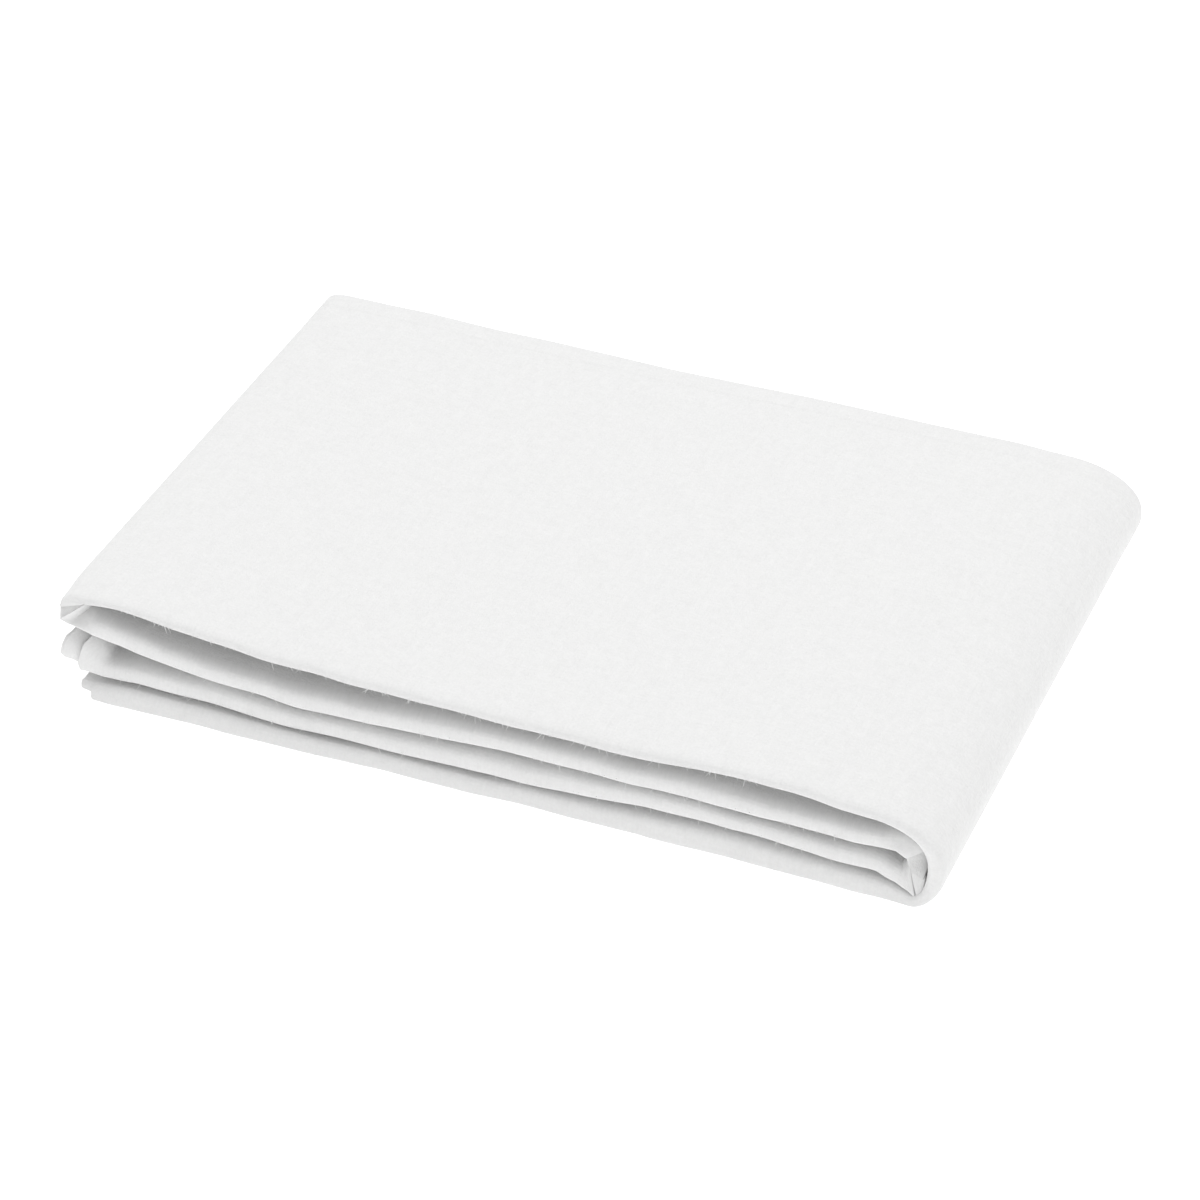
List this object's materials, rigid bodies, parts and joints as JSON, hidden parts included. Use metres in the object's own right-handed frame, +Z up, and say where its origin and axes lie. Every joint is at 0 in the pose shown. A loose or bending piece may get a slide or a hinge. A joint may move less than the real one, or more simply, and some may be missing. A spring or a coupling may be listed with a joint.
{
  "type": "folded flat sheet",
  "caption": "White cotton flat bed sheet folded into a neat rectangular packet, with rounded folds along the front, a wrapped right end and open edges at the back.",
  "frame": {"origin": "middle of the packet's box, on the surface it lies on", "axes": "+X along the packet toward the wrapped end, +Y from the front folds toward the open back edge, +Z up"},
  "size_m": [0.3764, 0.26, 0.045],
  "materials": {
    "cotton": "matt white plain-weave cotton, washed and pressed"
  },
  "bodies": {
    "root": {"sheet": "cotton"}
  },
  "joints": []
}
